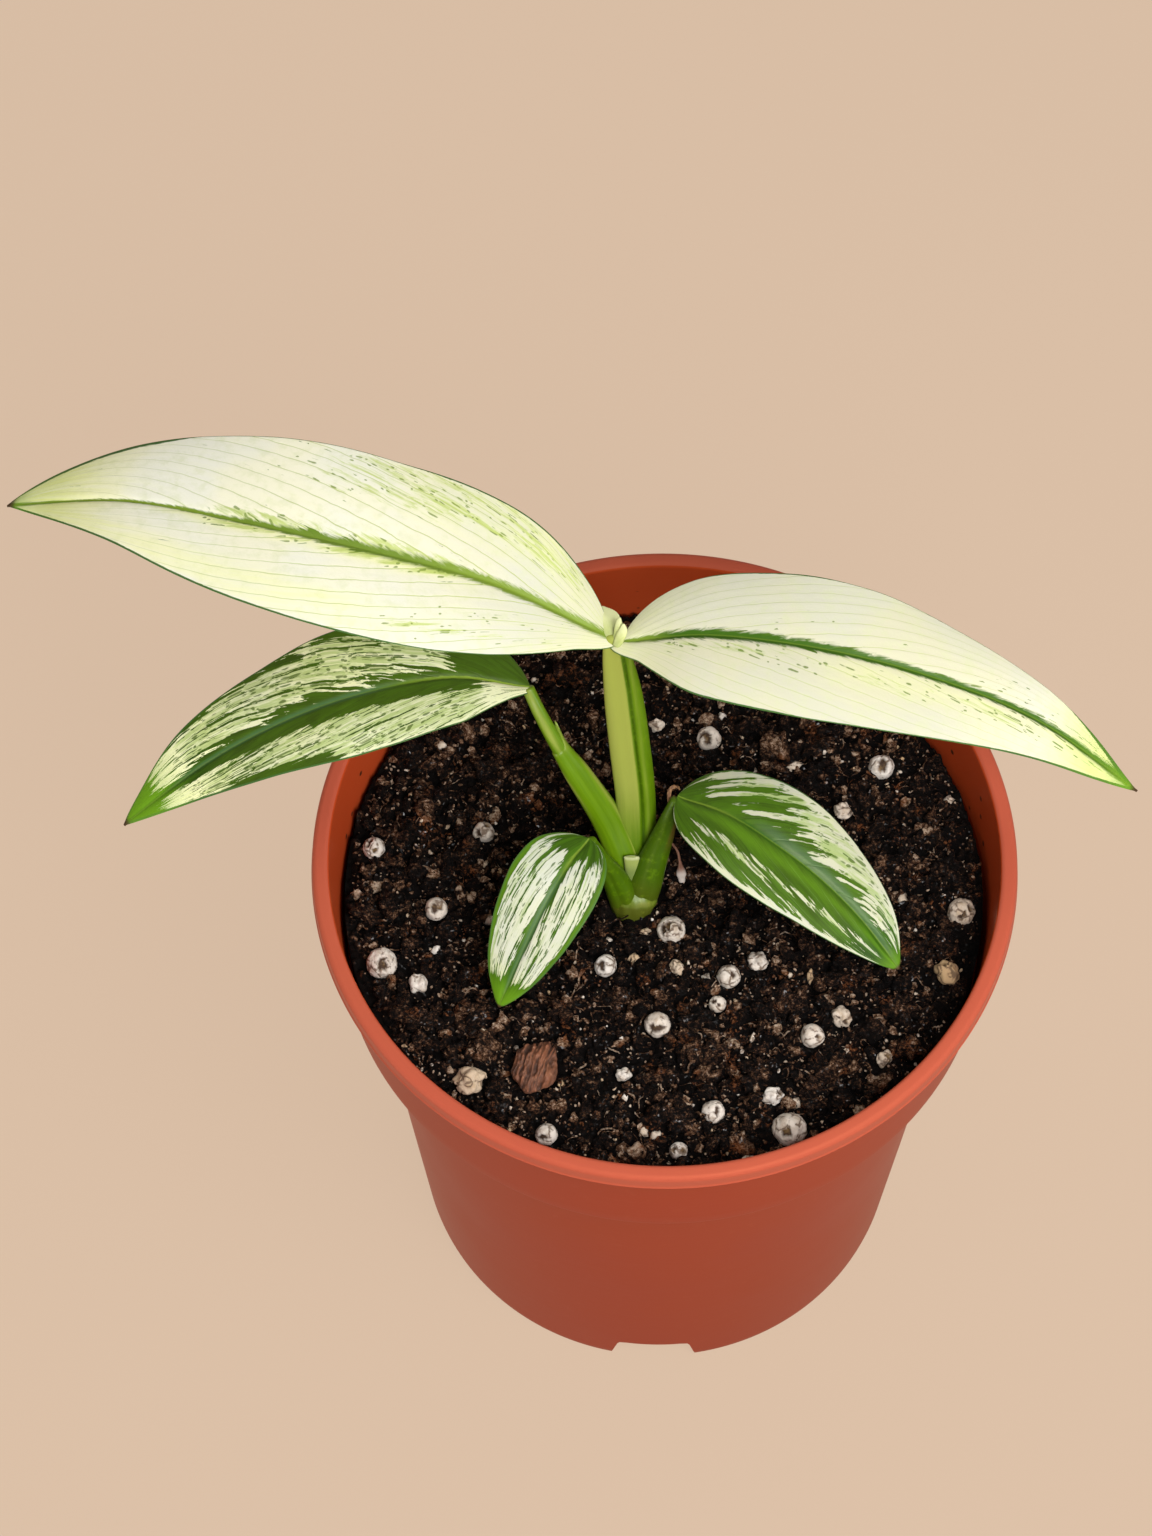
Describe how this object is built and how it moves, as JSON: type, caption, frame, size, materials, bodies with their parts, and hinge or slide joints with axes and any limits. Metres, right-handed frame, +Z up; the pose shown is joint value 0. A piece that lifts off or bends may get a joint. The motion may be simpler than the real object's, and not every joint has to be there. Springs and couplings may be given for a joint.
{
  "type": "potted pothos plant",
  "caption": "Young variegated pothos with lance-shaped cream and green leaves, rooted in a dark potting mix in a terracotta-coloured nursery pot.",
  "frame": {"origin": "centre of the pot's flat floor disc, on the plane that the pot stands on; the pot's axis is Z", "axes": "+Z up along the pot's axis; +X towards the right-hand top leaf and -X towards the long left-hand top leaf; -Y is the front, with one foot notch of the pot"},
  "size_m": [0.1886, 0.12, 0.1743],
  "materials": {
    "terracotta_plastic": "satin",
    "potting_mix": "matte",
    "petiole_green": "satin",
    "petiole_pale": "satin",
    "leaf_variegated": "satin",
    "dry_husk": "matte",
    "perlite": "matte",
    "bark": "matte"
  },
  "bodies": {
    "root": {"pot": "terracotta_plastic", "soil": "potting_mix", "crown": "petiole_green", "petiole_top": "petiole_pale", "petiole_left": "petiole_green", "petiole_right": "petiole_green", "petiole_front": "petiole_green", "bud": "petiole_pale", "dry_curl": "dry_husk", "thin_root": "dry_husk", "bark_chip": "bark", "leaf_top_left": "leaf_variegated", "leaf_top_right": "leaf_variegated", "leaf_left": "leaf_variegated", "leaf_right": "leaf_variegated", "leaf_front": "leaf_variegated", "perlite_01": "perlite", "perlite_02": "perlite", "perlite_03": "perlite", "perlite_04": "perlite", "perlite_05": "perlite", "perlite_06": "perlite", "perlite_07": "perlite", "perlite_08": "perlite", "perlite_09": "perlite", "perlite_10": "perlite", "perlite_11": "perlite", "perlite_12": "perlite", "perlite_13": "perlite", "perlite_14": "perlite", "perlite_15": "perlite", "perlite_16": "perlite", "perlite_17": "perlite", "perlite_18": "perlite", "perlite_19": "perlite", "perlite_20": "perlite", "perlite_21": "perlite", "perlite_22": "perlite", "perlite_23": "perlite", "perlite_24": "perlite", "perlite_25": "perlite", "perlite_26": "perlite", "perlite_27": "perlite", "perlite_28": "perlite"}
  },
  "joints": []
}
